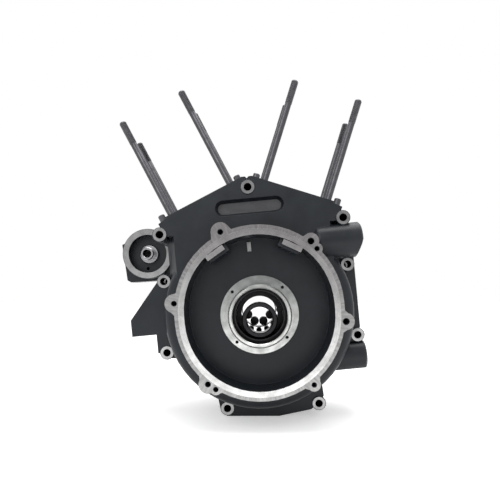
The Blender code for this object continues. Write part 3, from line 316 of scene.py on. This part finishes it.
def makeSteel(name):
    tint, rough, metal = steelSpec[name]
    finish, nodes, links, shader, place = newFinish(name, tint, rough, metal)
    cloud = addNoise(nodes, links, place, grainSpec["cloud"])
    fine = addNoise(nodes, links, place, grainSpec["fine"], detail=2)
    patches = addRange(nodes, links, cloud, 0, 1)
    colour = addBlend(nodes, links, patches, tint, darken(tint, grainSpec["darker"]))
    sheen = addRange(nodes, links, cloud, rough - grainSpec["smoother"], rough + grainSpec["rougher"])
    edge = addSoftEdge(nodes, grainSpec["edge"])
    relief = addBump(nodes, links, fine, grainSpec["depth"], grainSpec["strength"], edge)
    joinShader(links, shader, colour, sheen, relief)
    return finish


finishes = {"castPaint": makeCastPaint()}
for name in faceSpec:
    finishes[name] = makeTurnedFace(name)
for name in steelSpec:
    finishes[name] = makeSteel(name)
# painted shade: the bolt holes' walls are near-black and matte and show no reflection, standing in for the
# shade deep inside them
finishes["holeWall"].node_tree.nodes["Principled BSDF"].inputs["Specular IOR Level"].default_value = 0.0
print("finishes made")


# copies of the solids

# metres within which points merge, and degrees up to which faces are flat or turn smoothly
meshSpec = {"merge": 0.000005, "flat": 0.3, "smooth": 32}


def editAll(operator, **choices):
    # runs an edit mode operator on the whole active piece
    bpy.ops.object.mode_set(mode='EDIT')
    bpy.ops.mesh.select_all(action='SELECT')
    operator(**choices)
    bpy.ops.object.mode_set(mode='OBJECT')


def takeCopy(node, name, finishNames, chooseFace=None):
    # a merged copy of a solid, which stands for it and can be shaded smoothly
    makeActive(frame["nodes"][node])
    bpy.ops.object.duplicate()
    piece = bpy.context.active_object
    piece.name = name
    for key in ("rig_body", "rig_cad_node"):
        if key in piece:
            del piece[key]
    bpy.ops.mesh.customdata_custom_splitnormals_clear()
    editAll(bpy.ops.mesh.remove_doubles, threshold=meshSpec["merge"])
    piece.data.materials.clear()
    for finishName in finishNames:
        piece.data.materials.append(finishes[finishName])
    if chooseFace:
        for face in piece.data.polygons:
            chosen = chooseFace(*toCase(face.center), *turnToCase(face.normal))
            face.material_index = finishNames.index(chosen)
    editAll(bpy.ops.mesh.dissolve_limited, angle_limit=radians(meshSpec["flat"]), delimit={'MATERIAL'})
    bpy.ops.object.shade_smooth_by_angle(angle=radians(meshSpec["smooth"]))
    # flat faces stay flat, and the rounded edges beside them take the turn
    bpy.ops.object.modifier_add(type='WEIGHTED_NORMAL')
    piece.modifiers[-1].keep_sharp = True
    bpy.ops.object.modifier_apply(modifier=piece.modifiers[-1].name)
    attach(piece, "root")
    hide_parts(node)


# the two castings: their machined places, in millimetres and degrees
machined = {
    # depths from the joint plane
    "ring": 92.0, "spigot": 93.5, "flange": 61.0, "mark": 59.5, "recess": 44.0,
    "lowBoss": 28.0, "highBoss": 51.0, "boreStart": 46.0, "endStart": 89.0,
    "gearFace": 86.0, "pumpPad": 58.0, "filterPad": 28.0,
    # radii from the crank axis, and the reach of a bolt hole from its own middle
    "boreLip": 27.0, "bore": 28.0, "hubWall": 33.0, "hubRadius": 42.0, "bossReach": 100.0, "boltHole": 4.4,
    # places along the engine and the tappet pads, which face away from the cam at their turn
    "upperMount": 116.6, "lowerMount": 114.5, "filterRear": -95.0,
    "camHeight": 61.5, "tappetTurn": 31.0, "tappetHeight": 63.0,
    # how near a face has to lie to its place, and how squarely it has to face
    "slack": 0.05, "deckSlack": 0.1, "square": 0.99, "deckSquare": 0.85,
}

# bolt holes, as radius from the crank axis and angles from the bisector to the front
boltSpec = (
    (136.5, (0.0, 46.2, -46.2)),
    (112.5, (66.4, 107.9, 156.1, -66.4, -107.9)),
    (121.0, (-152.0,)),
)
bolts = []
for reach, angles in boltSpec:
    for angle in angles:
        bolts.append((-reach * sin(radians(angle)), reach * cos(radians(angle))))


def inBoltHole(x, z):
    return any(hypot(x - boltX, z - boltZ) < machined["boltHole"] for boltX, boltZ in bolts)


def isAt(value, *names):
    return any(abs(value - machined[name]) < machined["slack"] for name in names)


def isDeck(x, z, nz):
    half = radians(stance["vAngle"] / 2)
    height = abs(x) * sin(half) + z * cos(half)
    return nz > machined["deckSquare"] and abs(height - stance["deckHeight"]) < machined["deckSlack"]


def isMountEnd(x, nx):
    return nx > machined["square"] and isAt(x, "upperMount", "lowerMount")


def isTappetPad(x, z, nx, nz):
    turn = radians(machined["tappetTurn"])
    facing = abs(nx) * sin(turn) + nz * cos(turn)
    height = abs(x) * sin(turn) + (z - machined["camHeight"]) * cos(turn)
    return facing > machined["square"] and isAt(height, "tappetHeight")


def finishLeftFace(x, depth, z, nx, nd, nz):
    reach = hypot(x, z)
    if inBoltHole(x, z):
        return "holeWall"
    if nd > machined["square"]:
        if isAt(depth, "spigot"):
            return "spigotFace"
        if isAt(depth, "ring") and reach > machined["hubRadius"]:
            return "ringFace"
        if isAt(depth, "flange") and reach < machined["hubRadius"]:
            return "flangeFace"
        if isAt(depth, "mark"):
            return "spotFace"
        if isAt(depth, "recess") and z > machined["bossReach"]:
            return "recessGrey"
        if isAt(depth, "lowBoss", "highBoss") and reach > machined["bossReach"]:
            return "spotFace"
    if machined["boreLip"] < reach < machined["hubWall"] and depth > machined["endStart"]:
        return "hubFace"
    # painted shade: the bore's walls take the near-black bore steel
    if reach < machined["bore"] and depth > machined["boreStart"]:
        return "boreSteel"
    if reach < machined["hubWall"] and depth > machined["boreStart"]:
        return "flangeFace"
    if isMountEnd(x, nx):
        return "spotFace"
    return "deckFace" if isDeck(x, z, nz) else "castPaint"


def finishRightFace(x, depth, z, nx, nd, nz):
    side = -depth
    if inBoltHole(x, z) and side < machined["highBoss"]:
        return "holeWall"
    if nd < -machined["square"]:
        if isAt(side, "gearFace", "pumpPad"):
            return "ringFace"
        if isAt(side, "lowBoss", "highBoss"):
            return "spotFace"
    if nd > machined["square"] and isAt(side, "filterPad") and x < machined["filterRear"]:
        return "spotFace"
    if isMountEnd(x, nx) or isTappetPad(x, z, nx, nz):
        return "spotFace"
    return "deckFace" if isDeck(x, z, nz) else "castPaint"


castingFinishes = ["castPaint", "ringFace", "spigotFace", "flangeFace", "spotFace", "deckFace", "boreSteel",
                   "recessGrey", "hubFace", "holeWall"]
takeCopy("left_case", "leftCasting", castingFinishes, finishLeftFace)
takeCopy("right_case", "rightCasting", castingFinishes, finishRightFace)
print("castings dressed")


# cylinder studs, turned again with ridged threads; heights along the cylinder's axis from the crank axis
studSpec = {
    "foot": 115.3, "deckThread": 137.0, "tipThread": 229.3, "tip": 255.6,
    "threadRadius": 3.95, "rootRadius": 3.4, "shankRadius": 3.6, "chamfer": 0.8,
    "pitch": 1.25, "cap": 0.05, "sides": 24, "merge": 0.000002, "smooth": 30,
    "rightInnerShift": 5.9,    # these stand this much nearer the ridge between the decks
}


def addRidges(profile, low, high):
    # one ridge for each turn of the thread, as radius and height
    count = int((high - low) / studSpec["pitch"])
    step = (high - low) / count
    for i in range(count):
        profile.append((studSpec["rootRadius"], low + step * i))
        profile.append((studSpec["threadRadius"], low + step * (i + 0.5)))


def makeStudProfile():
    foot, tip, cap, chamfer = (studSpec[key] for key in ("foot", "tip", "cap", "chamfer"))
    profile = [(0, foot), (studSpec["rootRadius"], foot + cap)]
    addRidges(profile, foot + cap + chamfer, studSpec["deckThread"])
    profile += [(studSpec["shankRadius"], studSpec["deckThread"] + chamfer),
                (studSpec["shankRadius"], studSpec["tipThread"] - chamfer)]
    addRidges(profile, studSpec["tipThread"], tip - chamfer)
    profile += [(studSpec["threadRadius"] - chamfer, tip - cap), (0, tip)]
    return profile


def stackCones(profile, sides):
    # a turned shape along Z, as a stack of open cones
    cones = []
    for (lowRadius, low), (highRadius, high) in zip(profile, profile[1:]):
        middle = (low + high) / 2
        bpy.ops.mesh.primitive_cone_add(vertices=sides, radius1=lowRadius / 1000, radius2=highRadius / 1000,
                                        depth=(high - low) / 1000, end_fill_type='NOTHING',
                                        location=(0, 0, middle / 1000))
        cones.append(bpy.context.active_object)
    return cones


def makeStud():
    clearSelection()
    for cone in stackCones(makeStudProfile(), studSpec["sides"]):
        cone.select_set(True)
    bpy.ops.object.join()
    bpy.ops.object.transform_apply(location=True, rotation=True, scale=True)
    editAll(bpy.ops.mesh.remove_doubles, threshold=studSpec["merge"])
    editAll(bpy.ops.mesh.normals_make_consistent, inside=False)
    bpy.ops.object.shade_smooth_by_angle(angle=radians(studSpec["smooth"]))
    stud = bpy.context.active_object
    stud.data.materials.append(finishes["studBlack"])
    return stud


def placeStud(stud, side, end, across):
    # side is 1 to the left and -1 to the right, end is 1 to the rear and -1 to the front
    makeActive(stud)
    bpy.ops.object.duplicate()
    placed = bpy.context.active_object
    half = radians(stance["vAngle"] / 2)
    off = across - stance["cylinderInset"]
    placed.rotation_euler = (0, end * half - radians(stance["lean"]), 0)
    placed.location = toWorld(end * off * cos(half), side * stance["studHalf"], -off * sin(half))
    bpy.ops.object.transform_apply(location=True, rotation=True, scale=True)
    return placed


def placeStuds(stud):
    for side, sideName in ((1, "left"), (-1, "right")):
        for end, endName in ((-1, "front"), (1, "rear")):
            for row, across in (("inner", -stance["studHalf"]), ("outer", stance["studHalf"])):
                if (sideName, row) == ("right", "inner"):
                    across -= studSpec["rightInnerShift"]
                placed = placeStud(stud, side, end, across)
                placed.name = endName + row.capitalize() + sideName.capitalize() + "Stud"
                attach(placed, "root")
                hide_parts("stud_" + endName + "_" + row + "_" + sideName)
    bpy.data.objects.remove(stud)


placeStuds(makeStud())
print("studs turned")


# smaller pieces keep their solids' shapes, and the start of a name tells the finish
smallFinishes = {
    # the joint dowels take the near-black bore steel, painted shade
    "dowel_": "studBlack", "joint_dowel": "boreSteel", "drain_plug": "plainSteel",
    # the bearings, races and rollers take the near-black race steel, painted shade
    "filter_nipple": "platedSteel", "left_": "raceSteel", "right_": "raceSteel", "loose_": "raceSteel",
    "cam_": "raceSteel",
}
for node in sorted(frame["nodes"]):
    if node in ("left_case", "right_case") or node.startswith("stud_"):
        continue
    finishName = next(smallFinishes[start] for start in smallFinishes if node.startswith(start))
    takeCopy(node, node.replace("_", "") + "Piece", [finishName])
print("small pieces dressed")


# floor, surroundings and lamps
studio = {
    "floorSize": 8.0, "floorWhite": 0.8, "floorRough": 0.9, "floorGlow": 0.45,
    # light from each part of the room, and the parts of a direction over which it grows
    "front": 0.3, "top": 1.0, "back": 0.9,
    "heightFrom": 0.1, "heightTo": 0.9, "backFrom": -0.4, "backTo": 0.8,
    "lampAim": (0.02, 0, 0.13),
}


def addSeen(nodes, links):
    # one where the camera looks straight, by a reflection or through something clear
    path = nodes.new("ShaderNodeLightPath").outputs
    indirect = addMath(nodes, links, 'MAXIMUM', path["Is Glossy Ray"], path["Is Transmission Ray"])
    return addMath(nodes, links, 'MAXIMUM', path["Is Camera Ray"], indirect)


def makeFloor():
    bpy.ops.mesh.primitive_plane_add(size=studio["floorSize"], location=(0, 0, 0))
    floor = bpy.context.active_object
    floor.name = "studioFloor"
    white = (studio["floorWhite"],) * 3
    finish, nodes, links, shader, _ = newFinish("floorWhite", white, studio["floorRough"], 0.0)
    shader.inputs["Specular IOR Level"].default_value = 0.0
    shader.inputs["Emission Color"].default_value = (1, 1, 1, 1)
    glow = addMath(nodes, links, 'MULTIPLY', addSeen(nodes, links), studio["floorGlow"])
    links.new(glow, shader.inputs["Emission Strength"])
    floor.data.materials.append(finish)


def makeSurroundings():
    # white where it is seen, and a room that is dim in front and brighter towards the top and the back
    world = bpy.context.scene.world or bpy.data.worlds.new("studio")
    bpy.context.scene.world = world
    world.use_nodes = True
    nodes, links = world.node_tree.nodes, world.node_tree.links
    nodes.clear()
    out = nodes.new("ShaderNodeOutputWorld")
    white = nodes.new("ShaderNodeBackground")
    room = nodes.new("ShaderNodeBackground")
    choose = nodes.new("ShaderNodeMixShader")
    unseen, seen = choose.inputs[1:3]
    axes = splitAxes(nodes, links, nodes.new("ShaderNodeTexCoord").outputs["Generated"])
    height = addRange(nodes, links, axes["Z"], studio["front"], studio["top"],
                      studio["heightFrom"], studio["heightTo"])
    behind = addRange(nodes, links, axes["Y"], 0, studio["back"] - studio["front"],
                      studio["backFrom"], studio["backTo"])
    level = addMath(nodes, links, 'MINIMUM', addMath(nodes, links, 'ADD', height, behind), studio["top"])
    links.new(level, room.inputs["Strength"])
    for shade in (white, room):
        shade.inputs["Color"].default_value = (1, 1, 1, 1)
    links.new(addSeen(nodes, links), choose.inputs["Fac"])
    links.new(room.outputs["Background"], unseen)
    links.new(white.outputs["Background"], seen)
    links.new(choose.outputs["Shader"], out.inputs["Surface"])


lampSpec = {
    "overhead": {"place": (0.0, 0.1, 1.4), "size": 1.2, "power": 15.0},
    "front": {"place": (-0.5, -1.3, 1.1), "size": 0.9, "power": 6.0},
}


def makeLamp(name, place, size, power):
    bpy.ops.object.light_add(type='AREA', location=place)
    lamp = bpy.context.active_object
    lamp.name = name
    lamp.data.size = size
    lamp.data.energy = power
    aim = Vector(studio["lampAim"]) - lamp.location
    lamp.rotation_euler = aim.to_track_quat('-Z', 'Y').to_euler()


makeFloor()
makeSurroundings()
for name, spec in lampSpec.items():
    makeLamp(name, **spec)
print("studio lit")

clearSelection()
bpy.context.view_layer.update()
